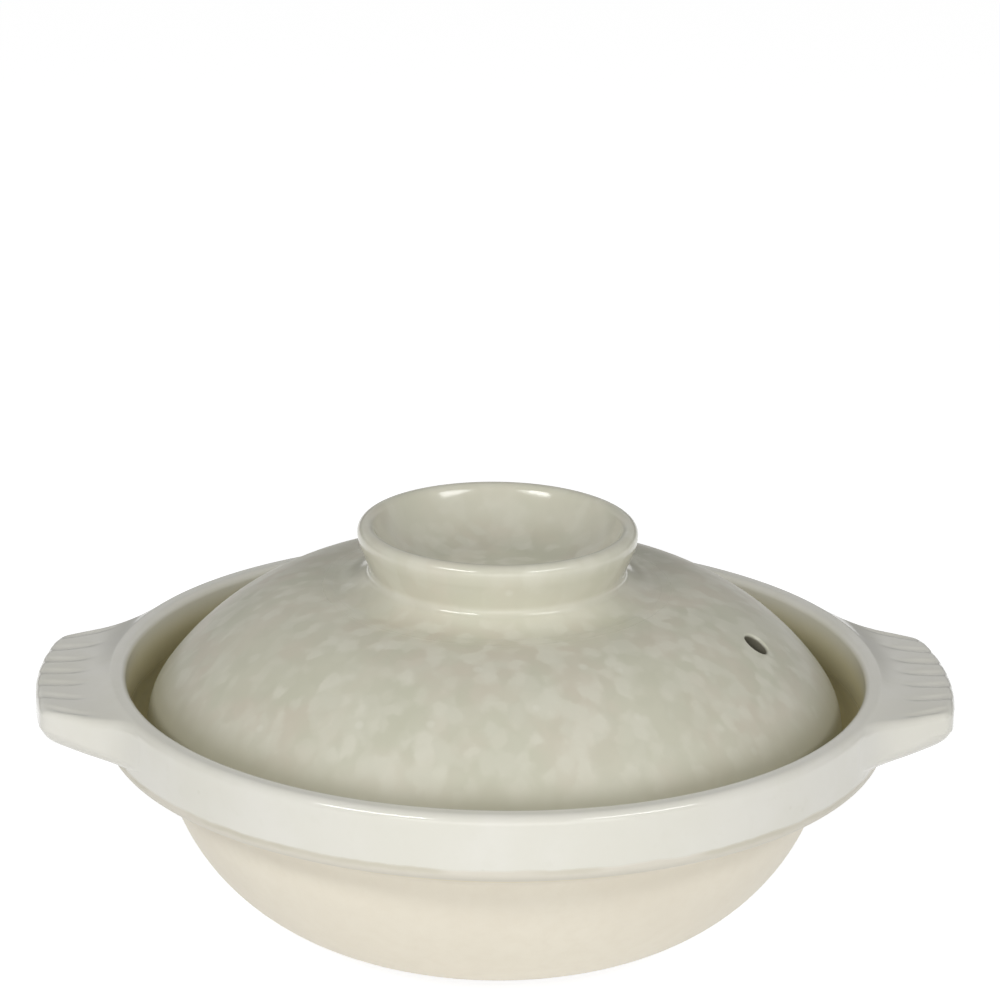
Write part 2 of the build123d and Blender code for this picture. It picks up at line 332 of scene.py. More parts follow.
def outline_of(runs, rounds, turn_step=6.5, longest=3.4):
    """Joins the runs, rounds the corner after each one, and spaces the points."""
    chain, current = [], runs[0]
    for following, radius in zip(runs[1:], rounds):
        if radius:
            current, corner, following = bridge(current, following, radius)
            chain += [current, corner]
        else:
            chain.append(current[:-1])
        current = following
    points = np.concatenate(chain + [current])
    legs = np.hypot(*np.diff(points, axis=0).T)
    points = points[np.concatenate([[True], legs > 1e-6])]
    legs = np.hypot(*np.diff(points, axis=0).T)
    along = np.concatenate([[0], np.cumsum(legs)])
    headings = np.unwrap(np.arctan2(*np.diff(points, axis=0).T[::-1]))
    bending = np.abs(np.diff(headings)) / ((legs[1:] + legs[:-1]) / 2)
    spacing = np.full(len(points), longest)
    bend_spacing = math.radians(turn_step) / np.maximum(bending, 1e-4)
    spacing[1:-1] = np.clip(bend_spacing, SHORTEST, longest)
    for order in (range(1, len(points)), range(len(points) - 2, -1, -1)):
        for index in order:
            near = index - 1 if order.step > 0 else index + 1
            reachable = spacing[near] + GROWTH * abs(along[index] - along[near])
            spacing[index] = min(spacing[index], reachable)
    amount = np.concatenate([[0], np.cumsum(legs * (1 / spacing[1:] + 1 / spacing[:-1]) / 2)])
    places = np.interp(np.linspace(0, amount[-1], int(amount[-1]) + 2), amount, along)
    return np.stack([np.interp(places, along, points[:, side]) for side in (0, 1)], 1)


def thrown(name, outline, finish, steps=360):
    """Turns an outline on the wheel and returns the finished piece."""
    mesh = bpy.data.meshes.new(name)
    points = [(radius * MM, 0, height * MM) for radius, height in outline]
    mesh.from_pydata(points, [(index, index + 1) for index in range(len(points) - 1)], [])
    piece = run_tree(put_in_scene(name, mesh), throw, Steps=steps, Finish=finish)
    return face_outwards(piece)


# %% [markdown]
# ## Glazes
# The pot has two finishes in one firing: a glossy white glaze over the band, the ears and the inside,
# and a beige satin body under the band. The lid has a thick cream glaze whose crystals grew into soft
# blotches as it cooled. All of them read Object coordinates, so a glaze runs on without a break from
# the band to the ears, and stays put when the lid is lifted.

# %% What every glaze starts with
class Finish(Bench):
    """A material's nodes: the place on the pot in metres, its radius and height in millimetres,
    and the principled surface."""

    def __init__(self, name, **surface):
        self.material = bpy.data.materials.new(name)
        self.material.use_nodes = True
        super().__init__(self.material.node_tree)
        self.tree.nodes.clear()
        self.place = self.node("ShaderNodeTexCoord").outputs["Object"]
        across, deep, height = self.split(self.place)
        self.radius, self.height = (across * across + deep * deep).root() / MM, height / MM
        self.surface = self.node("ShaderNodeBsdfPrincipled", surface)
        self.node("ShaderNodeOutputMaterial", {0: self.surface.outputs[0]})

    def noise(self, size, detail=2.0, roughness=0.5, place=None, output="Fac"):
        """Soft noise whose features are about that many millimetres across."""
        sockets = {"Vector": place or self.place, "Scale": 1 / (size * MM)}
        sockets.update({"Detail": detail, "Roughness": roughness})
        return self.reading(self.node("ShaderNodeTexNoise", sockets), output)

    def cells(self, size, feature="F1", place=None, **sockets):
        """Voronoi cells of about that many millimetres."""
        sockets = {"Vector": place or self.place, "Scale": 1 / (size * MM), **sockets}
        return self.node("ShaderNodeTexVoronoi", sockets, feature=feature)

    def blend(self, amount, first, second):
        """A colour between two colours. Mix has its colours at sockets 6 and 7 and output 2."""
        first, second = ((*end, 1) if isinstance(end, tuple) else end for end in (first, second))
        node = self.node("ShaderNodeMix", {0: amount, 6: first, 7: second}, data_type="RGBA")
        return node.outputs[2]

    def moved(self, *offset):
        """The place, moved so far that its pattern has nothing to do with the first one's."""
        return self.vector("ADD", self.place, offset)

    def shaken(self, amount, size):
        """The place, pushed about by noise, so that cells lose their straight sides."""
        push = self.vector("SUBTRACT", self.noise(size, output="Color").socket, (0.5, 0.5, 0.5))
        return self.vector("ADD", self.place, self.vector("SCALE", push, amount * MM))

    def coats(self, colour, *coats):
        """A base colour with coats over it, each a mask and a colour."""
        for mask, coat in coats:
            colour = self.blend(mask, colour, coat)
        return colour

    def skin(self, colour, rough, height, depth):
        """Feeds the surface. Its bump is height, from 0 to 1, times depth in millimetres."""
        bump = self.node("ShaderNodeBump", {"Distance": depth * MM, "Height": height})
        parts = {"Base Color": colour, "Roughness": rough, "Normal": bump.outputs[0]}
        for name, value in parts.items():
            self.feed(self.surface.inputs[name], value)
        return self.material


# %% [markdown]
# ### The pot: white glaze above, satin body below
# The white glaze ends in a slightly wavy line where the band's lower round begins, with a broken olive
# thread along it. Close under the band the beige body gets painted shade, greyer where the band
# overhangs it.
# Where two finishes meet in one throw of clay, one material with a height mask is better than two
# materials, because the line can wander without following the faces. The bowl's inside is white too,
# and down in the gallery the glaze is thin and olive, because the potter wipes it there so that the
# lid does not stick. The foot ring is bare clay.
# Each pair of millimetres is where a mask starts and where it is full. Only INSIDE_RING is a radius
# and a height: all of the bowl's inside lies near that ring in the air.

# %% Mix the pot's glaze
CERAMIC_IOR = 1.55
GLAZE_LINE, SHADED_BODY = (68.6, 69.6), (62.2, 65.2)
THREAD_STARTS, THREAD_ENDS = (66.9, 68.3), (68.7, 69.6)
EAR_STARTS, BARE_FOOT, BOWL_FLOOR = (133.5, 134.5), (1.2, 2.6), (4, 6)
INSIDE_RING, INSIDE_REACH = (44, 67), (65.5, 66.5)
GALLERY_RADII, GALLERY_FOOT = (103, 107), (60, 63)
RIM_INNER, RIM_UPPER = (124.6, 127.2), (75, 88)


def pot_finish():
    glaze = Finish("pot_glaze", IOR=CERAMIC_IOR)
    radius, height = glaze.radius, glaze.height
    wander = glaze.noise(9, detail=3) - 0.5
    line = height + wander * 1.6
    ear = radius.rising(*EAR_STARTS)
    out, down = (radius - INSIDE_RING[0]).at_least(0), INSIDE_RING[1] - height
    near = 1 - (out * out + down * down).root().rising(*INSIDE_REACH)
    inside = near * height.rising(*BOWL_FLOOR)
    glazed = line.rising(*GLAZE_LINE).at_least(ear).at_least(inside)
    # Painted shade: the body just under the band's overhang is blended towards grey.
    under = line.rising(*SHADED_BODY) * (1 - inside)
    # A broken olive thread along the lower edge of the white glaze, on the band's lower round.
    olive_thread = line.rising(*THREAD_STARTS) * (1 - line.rising(*THREAD_ENDS))
    olive_thread = olive_thread * glaze.noise(26).rising(0.36, 0.62)
    cloud = glaze.noise(34, detail=3)
    mottle = glaze.noise(5, detail=4, roughness=0.62)
    specks = glaze.cells(7, place=glaze.shaken(3, 6))
    speck = 1 - glaze.reading(specks, "Distance").rising(0.05, 0.16)
    speck = speck * glaze.noise(16).rising(0.56, 0.64)
    inner = (1 - radius.rising(*RIM_INNER)) * (1 - height.rising(*RIM_UPPER))
    gallery = inner * radius.rising(*GALLERY_RADII) * height.rising(*GALLERY_FOOT)
    bare = 1 - (height + wander).rising(*BARE_FOOT)
    body = glaze.coats(
        (0.88, 0.82, 0.69),
        (cloud.rising(0.3, 0.7), (0.91, 0.855, 0.725)),
        (mottle.rising(0.35, 0.75) * 0.4, (0.85, 0.785, 0.65)),
        # painted shade under the band
        (under * 0.85, (0.715, 0.68, 0.59)),
    )
    white = glaze.coats(
        (0.795, 0.78, 0.695),
        (cloud.rising(0.35, 0.7), (0.825, 0.81, 0.74)),
        (mottle.rising(0.5, 0.8) * 0.3, (0.76, 0.745, 0.65)),
        (speck * 0.25, (0.68, 0.66, 0.56)),
    )
    colour = glaze.coats(
        body,
        (glazed, white),
        (olive_thread * (1 - ear) * 0.55, (0.58, 0.55, 0.43)),
        (gallery * 0.92, (0.70, 0.63, 0.34)),
        (bare, (0.60, 0.51, 0.40)),
    )
    rough = 0.46 - glazed * 0.35 + gallery * 0.2 + bare * 0.35 + (mottle - 0.5) * 0.04
    relief = glaze.noise(11, detail=2) * 0.7 + glaze.noise(2.2, detail=2) * (1 - glazed) * 0.35
    return glaze.skin(colour, rough, relief, 0.08)


pot_glaze = pot_finish()
print("pot glaze has", len(pot_glaze.node_tree.nodes), "nodes")

# %% [markdown]
# ### The lid: cream crystals in a grey-green glaze
# Close up, the lid is covered in pale daubs, 3 to 9 mm across, over broad drifts of pinkish and
# greenish cream, with a few small pale spots on top. Voronoi cells give the daubs. Their straight
# sides would look like cut stone, so the cells are smooth and the place that they read is shaken by
# noise. Its height counts half, which draws the daubs out a little down the flank.
# Towards the edge the glaze runs dry and olive, with painted shade where it sinks into the gap by the
# rim.
# From knob to flank it goes from gloss to satin.
# The steam hole's bore gets painted shade, nearly black. Its mask follows the hole's own axis.

# %% Mix the lid's glaze
DRY_AND_SHADED_EDGE, SATIN_FLANK, WIPED_SEAT = (106, 115), (52, 64), (65.5, 66.6)
KNOB_HEIGHTS, KNOB_RADII, PALE_AND_LIT_LOW_FLANK = (115, 119), (30, 38), (80, 97)
HOLE_SHADE_SIDE, HOLE_SHADE_DEPTH = (4.9, 6.0), (0.3, 1.6)


def lid_finish(mouth, axis):
    """The lid's glaze. It also paints shade into the steam hole, given its mouth and direction."""
    glaze = Finish("lid_glaze", IOR=CERAMIC_IOR)
    radius, height = glaze.radius, glaze.height
    flowing = glaze.vector("MULTIPLY", glaze.shaken(4.5, 5), (1.0, 1.0, 0.5))
    daubs = glaze.cells(5.0, "SMOOTH_F1", flowing, Smoothness=1.0)
    tone, second = glaze.split(daubs.outputs["Color"])[:2]
    daub, hollow = tone.rising(0.2, 0.8), 1 - second.rising(0.15, 0.55)
    grain = glaze.noise(6.5, detail=3)
    drift = glaze.noise(38, detail=2)
    tint = glaze.noise(24, detail=2, place=glaze.moved(0.4, 0.1, 0.7))
    pale = height.rising(*KNOB_HEIGHTS) * radius.rising(*KNOB_RADII) * 0.45
    # Lower on the flank the glaze turns paler: partly stronger pale daubs, partly painted light where
    # the flank faces the lamps.
    pale = pale + (1 - height.rising(*PALE_AND_LIT_LOW_FLANK)) * 0.5
    spots = glaze.cells(15, place=glaze.moved(0.03, 0.02, 0.01))
    spot = 1 - glaze.reading(spots, "Distance").rising(0.05, 0.14)
    # Towards the edge: olive, dry glaze, and painted shade where the lid's edge sinks into the gap by
    # the rim.
    edge = (radius + (glaze.noise(14) - 0.5) * 3).rising(*DRY_AND_SHADED_EDGE)
    away = glaze.vector("SUBTRACT", glaze.place, tuple(mouth))
    raised, far = glaze.measure("DOT_PRODUCT", away, tuple(axis)), glaze.measure("LENGTH", away)
    off = (far * far - raised * raised).at_least(0).root()
    # Painted shade inside the steam hole: its bore is coloured nearly black.
    hole_shade = (1 - (off / MM).rising(*HOLE_SHADE_SIDE)) * (0 - raised / MM).rising(*HOLE_SHADE_DEPTH)
    bare = 1 - height.rising(*WIPED_SEAT)
    colour = glaze.coats(
        (0.62, 0.615, 0.485),
        (tint.rising(0.38, 0.62), (0.655, 0.61, 0.495)),
        (drift.rising(0.35, 0.7) * 0.5, (0.70, 0.68, 0.555)),
        (daub * (0.3 + grain * 0.8), (0.75, 0.735, 0.62)),
        (hollow * grain * 0.5, (0.585, 0.58, 0.455)),
        (pale, (0.74, 0.725, 0.61)),
        (spot * 0.4, (0.80, 0.79, 0.69)),
        # olive glaze and painted shade at the edge
        (edge * 0.72, (0.45, 0.43, 0.31)),
        # painted shade in the steam hole
        (hole_shade * 0.9, (0.12, 0.11, 0.075)),
        (bare, (0.62, 0.55, 0.44)),
    )
    rough = 0.12 + grain * 0.03 + radius.rising(*SATIN_FLANK) * 0.22 + edge * 0.2
    return glaze.skin(colour, rough, glaze.noise(12, detail=2), 0.09)


# %% [markdown]
# ## The bowl
# The bowl's outline runs from the middle of its foot, out and up its belly, over the rim band, down
# into the gallery that carries the lid, and along the inside to the middle of the floor.
# The belly is one wide arc. Its centre and radius follow from three things: where it starts, how
# steeply, and the waist under the band that it has to reach.

# %% Throw the bowl
bowl_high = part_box("pot_bowl")[1]
RIM_RADIUS, CREST = bowl_high.x / MM, bowl_high.z / MM
BAND_FOOT, SEAT = CREST - 21, CREST - 22
WALL, FLOOR = 7.5, 9.5
RIM_INSIDE = RIM_RADIUS - WALL
CREST_ROUND, BAND_ROUND = 3.0, 3.0
CREST_CENTRE = (RIM_RADIUS - CREST_ROUND, CREST - CREST_ROUND)
RECESS, RING_INSIDE = (54.5, 2), 56.5
FOOT_RADIUS, WAIST = 64.5, (RIM_RADIUS - 19.8, CREST - 31)
BELLY_START = math.radians(17)


def belly_arc():
    """Centre and radius of the belly's arc, from its start, its first slope and the waist."""
    run, rise = WAIST[0] - FOOT_RADIUS, WAIST[1]
    radius = math.hypot(run, rise) / (2 * math.sin(math.atan2(rise, run) - BELLY_START))
    return (FOOT_RADIUS - radius * math.sin(BELLY_START), radius * math.cos(BELLY_START)), radius


belly, belly_radius = belly_arc()
inner_radius = belly_radius - WALL


def belly_angle(radius, height):
    """Angle of the belly's lower half where an arc of that radius is that high."""
    return math.degrees(math.asin((height - belly[1]) / radius))


def bowl_outline():
    waist_angle, nose_angle = belly_angle(belly_radius, WAIST[1]), belly_angle(inner_radius, SEAT)
    inside = curved(belly, inner_radius, nose_angle, belly_angle(inner_radius, FLOOR))
    runs = [
        straight((0, RECESS[1]), RECESS),
        straight(RECESS, (RING_INSIDE, 0)),
        straight((RING_INSIDE, 0), (FOOT_RADIUS, 0)),
        curved(belly, belly_radius, math.degrees(BELLY_START) - 90, waist_angle),
        straight(WAIST, (RIM_RADIUS, BAND_FOOT)),
        straight((RIM_RADIUS, BAND_FOOT), (RIM_RADIUS, CREST)),
        straight((RIM_RADIUS, CREST), (RIM_INSIDE, CREST)),
        straight((RIM_INSIDE, CREST), (RIM_INSIDE, SEAT)),
        straight((RIM_INSIDE, SEAT), inside[0]),
        inside,
        straight(inside[-1], (0, FLOOR)),
    ]
    return outline_of(runs, [0.8, 0.8, 1.5, 3.0, BAND_ROUND, CREST_ROUND, 2.4, 4, 2.5, 24])


outline = bowl_outline()
bowl = thrown("glazed_bowl", outline, pot_glaze)
print(f"bowl outline has {len(outline)} points, belly arc {belly_radius:.2f} mm")

# %% [markdown]
# ## The ears
# Each ear is a slab of clay pressed on to the band and smoothed down with a wet finger. What matters
# is the joint: the top runs down from the crest in a hollow ramp, without a step, and the sides flare
# out on to the band. The underside rises a little towards the tip, so the ear gets thinner there.
# A shape that melts into another is easy to say with distances. For every point, one function tells
# how far it is from the slab and another how far it is from the band, and a smooth minimum melts the
# two. The skin is found by sending rays out from inside the wall until that distance is zero.

# %% How far a point is from the ear
EAR_REACH, TIP_HALF, ROOT_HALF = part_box("ear_right")[1].x / MM, 36.0, 53.0
EAR_TOP, EAR_FOOT, TIP_RISE = CREST - 3.2, CREST - 18.4, 3.0
CORNER_MELT, FLARE_MELT, ROOT_MELT = 3.8, 10.5, 2.4
TOP_ROUND, UNDER_ROUND, UNDER_ROUND_GROWTH = 2.6, 4.8, 1.9
EAR_ENDS = math.radians(26.5), math.radians(29)
HAIR, DEEP = 0.004, 0.12
RAMP_SLOPE = math.radians(24)
ramp_start = CREST_CENTRE[0] + CREST_ROUND * math.sin(RAMP_SLOPE)
ramp_drop = EAR_TOP - CREST_CENTRE[1] - CREST_ROUND * math.cos(RAMP_SLOPE)
ramp_radius = -ramp_drop / (1 - math.cos(RAMP_SLOPE))
ramp_end = ramp_start + ramp_radius * math.sin(RAMP_SLOPE)


def melt(first, second, reach):
    """Smooth minimum of two distances: where they are within reach, the joint is filled softly."""
    near = np.maximum(reach - np.abs(first - second), 0) / np.maximum(reach, 1e-9)
    return np.minimum(first, second) - near**3 * reach / 6


def soft_step(value, low, high):
    share = np.clip((value - low) / (high - low), 0, 1)
    return share * share * (3 - 2 * share)


def rounded_edge(side, top, radius):
    """Distance from an edge with a round, given the distances from its two faces."""
    out, over = side + radius, top + radius
    corner = np.hypot(np.maximum(out, 0), np.maximum(over, 0))
    return corner + np.minimum(np.maximum(out, over), 0) - radius


def top_height(reach):
    """Height of the ear's top: on the crest's round, then down a hollow ramp, then level."""
    past = np.maximum(reach - CREST_CENTRE[0], 0)
    crest = CREST_CENTRE[1] + np.sqrt(np.maximum(CREST_ROUND**2 - past**2, 0))
    short = np.clip(ramp_end - reach, 0, ramp_end - ramp_start)
    ramp = EAR_TOP + ramp_radius - np.sqrt(ramp_radius**2 - short**2)
    return np.where(reach < ramp_start, crest - 0.1 * soft_step(ramp_start - reach, 0, 1), ramp)


def slab_plan(x, y):
    """Distance from the slab's outline seen from above: two sides and a round tip."""
    tip_x = math.sqrt(EAR_REACH**2 - TIP_HALF**2)
    root_x = math.sqrt(RIM_RADIUS**2 - ROOT_HALF**2)
    along = np.array([tip_x - root_x, TIP_HALF - ROOT_HALF])
    normal = np.array([-along[1], along[0]]) / np.hypot(*along)
    side = (x - tip_x) * normal[0] + (np.abs(y) - TIP_HALF) * normal[1]
    return -melt(-side, EAR_REACH - np.hypot(x, y), CORNER_MELT)


def sink(angle, reach, height):
    """How far the ear's skin lies under the band's: a hair at the ear, and more away from it."""
    away = soft_step(np.abs(angle), *EAR_ENDS) + soft_step(ramp_start - reach, 0.3, 1.6)
    away = away + soft_step(BAND_FOOT + 2 - height, 0, 1.2)
    return HAIR + DEEP * away


def ear_distance(angle, reach, height):
    """Distance from the ear and the band, melted together."""
    x, y = reach * np.cos(angle), reach * np.sin(angle)
    slab = slab_plan(x, y)
    flared = melt(slab, reach - RIM_RADIUS + sink(angle, reach, height), FLARE_MELT)
    thinned = TIP_RISE * np.clip((reach - RIM_RADIUS) / (EAR_REACH - RIM_RADIUS), 0, 1)
    over, under = height - top_height(reach), EAR_FOOT + thinned - height
    upper = height > (EAR_TOP + EAR_FOOT) / 2
    under_round = UNDER_ROUND + UNDER_ROUND_GROWTH * soft_step(reach, RIM_RADIUS + 8, EAR_REACH)
    ear, plain = (
        np.where(upper, rounded_edge(side, over, TOP_ROUND), rounded_edge(side, under, under_round))
        for side in (flared, slab)
    )
    middle = (CREST + BAND_FOOT) / 2
    crest = rounded_edge(reach - RIM_RADIUS, height - CREST, CREST_ROUND)
    foot = rounded_edge(reach - RIM_RADIUS, BAND_FOOT - height, BAND_ROUND)
    band = np.where(height > middle, crest, foot) + sink(angle, reach, height)
    joint = ROOT_MELT * (1 - soft_step(height, EAR_FOOT + 4, EAR_FOOT + 8))
    return np.minimum(ear, melt(plain, band, joint))


# %% [markdown]
# The rays start in the band's wall. In each upright slice they fan out from just past straight up to
# just past straight down, and step outwards until they leave the clay. Halving the last step 18 times
# finds the skin to a thousandth of a millimetre. The points along each slice are then spaced evenly.
# The columns stand four to the degree, which is fine enough for the flutes that come next.

# %% Grow the ear's skin
def ear_skin(columns, rows):
    """Grid of points on the ear's skin: angle by angle, from the crest round to below."""
    angles = np.radians(np.linspace(-29, 29, columns))[:, None, None]
    tilts = np.radians(np.linspace(99, -99, 397))[None, :, None]
    steps = np.linspace(0.5, 40, 80)[None, None, :]

    def along_ray(length, tilt):
        start_reach, start_height = RIM_RADIUS - 3.0, (CREST + BAND_FOOT) / 2 - 0.3
        return start_reach + length * np.cos(tilt), start_height + length * np.sin(tilt)

    distance = ear_distance(angles, *along_ray(steps, tilts))
    outside = np.argmax(distance > 0, axis=2)
    high = steps[0, 0][outside]
    low = np.where(outside > 0, steps[0, 0][np.maximum(outside - 1, 0)], 0)
    flat_angles, flat_tilts = angles[:, :, 0], tilts[:, :, 0]
    for _ in range(18):
        middle = (low + high) / 2
        out = ear_distance(flat_angles, *along_ray(middle, flat_tilts)) > 0
        high, low = np.where(out, middle, high), np.where(out, low, middle)
    reach, height = along_ray(low, flat_tilts)
    grid = np.empty((columns, rows, 3))
    for column in range(columns):
        legs = np.hypot(np.diff(reach[column]), np.diff(height[column]))
        along = np.concatenate([[0], np.cumsum(legs)])
        places = np.linspace(0, along[-1], rows)
        out = np.interp(places, along, reach[column])
        up = np.interp(places, along, height[column])
        angle = angles[column, 0, 0]
        grid[column] = np.stack([out * np.cos(angle), out * np.sin(angle), up], 1)
    return grid


def ear_piece(name, grid, side):
    """Closes the grid inside the band's wall and makes it a piece. side is 1 on the right."""
    columns, rows = grid.shape[:2]
    points = grid.reshape(-1, 3) * MM * np.array([side, side, 1])
    faces = []
    for column in range(columns - 1):
        for row in range(rows):
            a, b = column * rows + row, column * rows + (row + 1) % rows
            faces.append((a, b, b + rows, a + rows))
    faces += [tuple(range(rows)), tuple(range(columns * rows - 1, (columns - 1) * rows - 1, -1))]
    mesh = bpy.data.meshes.new(name)
    mesh.from_pydata(points.tolist(), [], faces)
    return face_outwards(put_in_scene(name, mesh))


skin = ear_skin(columns=233, rows=150)
right_ear = ear_piece("right_ear_slab", skin, 1)
left_ear = ear_piece("left_ear_slab", skin, -1)
print(f"ear reaches {np.hypot(skin[..., 0], skin[..., 1]).max():.2f} mm from the axis")

# %% [markdown]
# ## Combing the flutes
# Seven shallow flutes cross the top of each ear, for grip. The potter draws them outwards with a
# round-nosed tool that sinks as it goes, so each starts as nothing and is deepest at the tip.
# They follow a rule, so a Geometry Nodes tree combs them: it works out which flute a point is nearest
# to and pushes the point down by what the tool would take. Towards the sides of the ear the flutes
# fan out along its edges, which is why the nearest flute comes from a square root. The tool's edge is
# softened, and the flutes fade towards the root and on the rounded tip.

# %% Build the comb tree
SOFTENED = (0.3 * MM) ** 2
FADE_AT_ROOT, TIP_SHARE, TIP_WIDTH = (0.7, 1.1), 0.3, 0.008


def comb_tree():
    sizes = ["Half width", "Depth", "Length", "Tool radius", "Fan", "Reach", "Top", "Foot", "Side"]
    inputs = [("Count", "NodeSocketInt")] + [(label, "NodeSocketFloat") for label in sizes]
    bench, given = new_tree("comb_the_flutes", inputs + [("Finish", "NodeSocketMaterial")])
    values = (Reading(bench, given[label]) for label in sizes)
    half, depth, length, tool, fan, reach, top, foot, side = values
    x, y, z = bench.split(bench.node("GeometryNodeInputPosition").outputs[0])
    x, sideways = x * side, abs(y)
    inward = ((reach * reach - y * y).root() - x).at_least(0)
    share = 2 * sideways / (half + (half * half + 4 * fan * inward * sideways).root())
    middle = (Reading(bench, given["Count"]) - 1) / 2
    flute = share * middle
    nearest = flute.nearest().at_most(middle)
    pitch = (half + 2 * fan * inward * share) / middle
    off = (flute - nearest) * pitch
    cut = depth * (1 - inward / length) - off * off / (2 * tool)
    cut = (cut + (cut * cut + SOFTENED).root()) / 2 * (1 - (inward / length).rising(*FADE_AT_ROOT))
    cut = cut * (TIP_SHARE + inward.rising(0, TIP_WIDTH) * (1 - TIP_SHARE))
    drop = cut * ((z - foot) / (top - foot)).rising(0.1, 0.95)
    offset = bench.node("ShaderNodeCombineXYZ", {2: 0 - drop})
    sockets = {"Geometry": given["Geometry"], "Offset": offset.outputs[0]}
    combed = bench.node("GeometryNodeSetPosition", sockets)
    return close_tree(bench, combed.outputs[0], given["Finish"])


comb = comb_tree()
for ear, side in ((right_ear, 1.0), (left_ear, -1.0)):
    run_tree(
        ear, comb, Count=7, Half_width=32.4 * MM, Depth=0.85 * MM, Length=19 * MM,
        Tool_radius=5.2 * MM, Fan=math.tan(math.radians(27)), Reach=EAR_REACH * MM,
        Top=EAR_TOP * MM, Foot=EAR_FOOT * MM, Side=side, Finish=pot_glaze,
    )
print("comb tree has", len(comb.nodes), "nodes")

# %% [markdown]
# ## The lid
# The dome is three arcs: a tight one that rolls in at its edge, a wide one for the flank, and one that
# turns level under the knob. Two arcs meet smoothly where their centres and the meeting point lie on
# one line. The wall is even, as a thrown lid's is, and the edge stands on the gallery. The steam hole
# is placed here too, because the glaze paints shade into it.

# %% Throw the dome
LID_RADIUS, LID_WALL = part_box("lid_dome")[1].x / MM, 6.5
EDGE_RADIUS, CROWN_RADIUS, FLANK_REACH = 24.0, 61.5, 41.6
SHOULDER, CROWN_ANGLE = 55.0, 27.1
HOLE_REACH, HOLE_ANGLE, HOLE_RADIUS, HOLE_LIP = LID_RADIUS - 28.6, math.radians(-17.1), 4.5, 1.1

edge_centre = (LID_RADIUS - EDGE_RADIUS, SEAT + 2)
arcs_apart = (edge_centre[0] - FLANK_REACH) / math.sin(math.radians(SHOULDER))
flank_centre = (FLANK_REACH, edge_centre[1] - arcs_apart * math.cos(math.radians(SHOULDER)))
flank_radius = EDGE_RADIUS + arcs_apart
inward = flank_radius - CROWN_RADIUS
LEVEL_RADIUS = flank_centre[0] + inward * math.sin(math.radians(CROWN_ANGLE))
crown_centre = (LEVEL_RADIUS, flank_centre[1] + inward * math.cos(math.radians(CROWN_ANGLE)))
LEVEL = crown_centre[1] + CROWN_RADIUS


def hole_axis():
    """Where the steam hole comes out of the flank, and the direction square to it."""
    slope = math.asin((HOLE_REACH - flank_centre[0]) / flank_radius)
    height = flank_centre[1] + flank_radius * math.cos(slope)
    out = Vector((math.cos(HOLE_ANGLE), math.sin(HOLE_ANGLE), 0))
    mouth = out * HOLE_REACH * MM + Vector((0, 0, height * MM))
    return mouth, (out * math.sin(slope) + Vector((0, 0, math.cos(slope)))).normalized()


def dome_outline():
    ceiling = LEVEL - LID_WALL
    inside = LID_RADIUS - LID_WALL
    runs = [
        straight((0, LEVEL), (LEVEL_RADIUS, LEVEL)),
        curved(crown_centre, CROWN_RADIUS, 90, 90 - CROWN_ANGLE),
        curved(flank_centre, flank_radius, 90 - CROWN_ANGLE, 90 - SHOULDER),
        curved(edge_centre, EDGE_RADIUS, 90 - SHOULDER, 0),
        straight((LID_RADIUS, edge_centre[1]), (LID_RADIUS, SEAT)),
        straight((LID_RADIUS, SEAT), (inside, SEAT)),
        straight((inside, SEAT), (inside, edge_centre[1])),
        curved(edge_centre, EDGE_RADIUS - LID_WALL, 0, 90 - SHOULDER),
        curved(flank_centre, flank_radius - LID_WALL, 90 - SHOULDER, 90 - CROWN_ANGLE),
        curved(crown_centre, CROWN_RADIUS - LID_WALL, 90 - CROWN_ANGLE, 90),
        straight((LEVEL_RADIUS, ceiling), (0, ceiling)),
    ]
    return outline_of(runs, [0, 0, 0, 0, 1.6, 1.6, 0, 0, 0, 0], longest=2.6)


lid_glaze = lid_finish(*hole_axis())
print("lid glaze has", len(lid_glaze.node_tree.nodes), "nodes")
outline = dome_outline()
dome = thrown("glazed_dome", outline, lid_glaze)
print(f"dome outline has {len(outline)} points, level at {LEVEL:.2f} mm to {LEVEL_RADIUS:.1f} mm")

# %% [markdown]
# ## The steam hole
# A small round hole through the lid's right flank lets the steam out. It was pushed through the soft
# clay square to the surface, and the glaze has rounded both of its lips.
# A Boolean would cut it, but it leaves slivers that catch the light in a glossy glaze. Here the faces
# round the place are taken out of both skins instead, and rings of new faces lead from the gap to a
# true circle, over the lip and into the hole, where the two ends are bridged.

# %% Pierce the steam hole
CLEARED, HOLE_STRAIGHT, PROBE = 3.6, 1.2, 0.02


def ring_of(shape, faces):
    """Takes faces out and returns the vertices round the gap, in order."""
    inside = set(faces)
    edges = [e for face in faces for e in face.edges if any(f not in inside for f in e.link_faces)]
    neighbours = {}
    for edge in edges:
        for vertex in edge.verts:
            neighbours.setdefault(vertex, []).append(edge.other_vert(vertex))
    first = edges[0].verts[0]
    ring, last, current = [first], first, neighbours[first][0]
    while current != first:
        ring.append(current)
        step = [vertex for vertex in neighbours[current] if vertex != last][0]
        last, current = current, step
    bmesh.ops.delete(shape, geom=faces, context="FACES")
    return ring


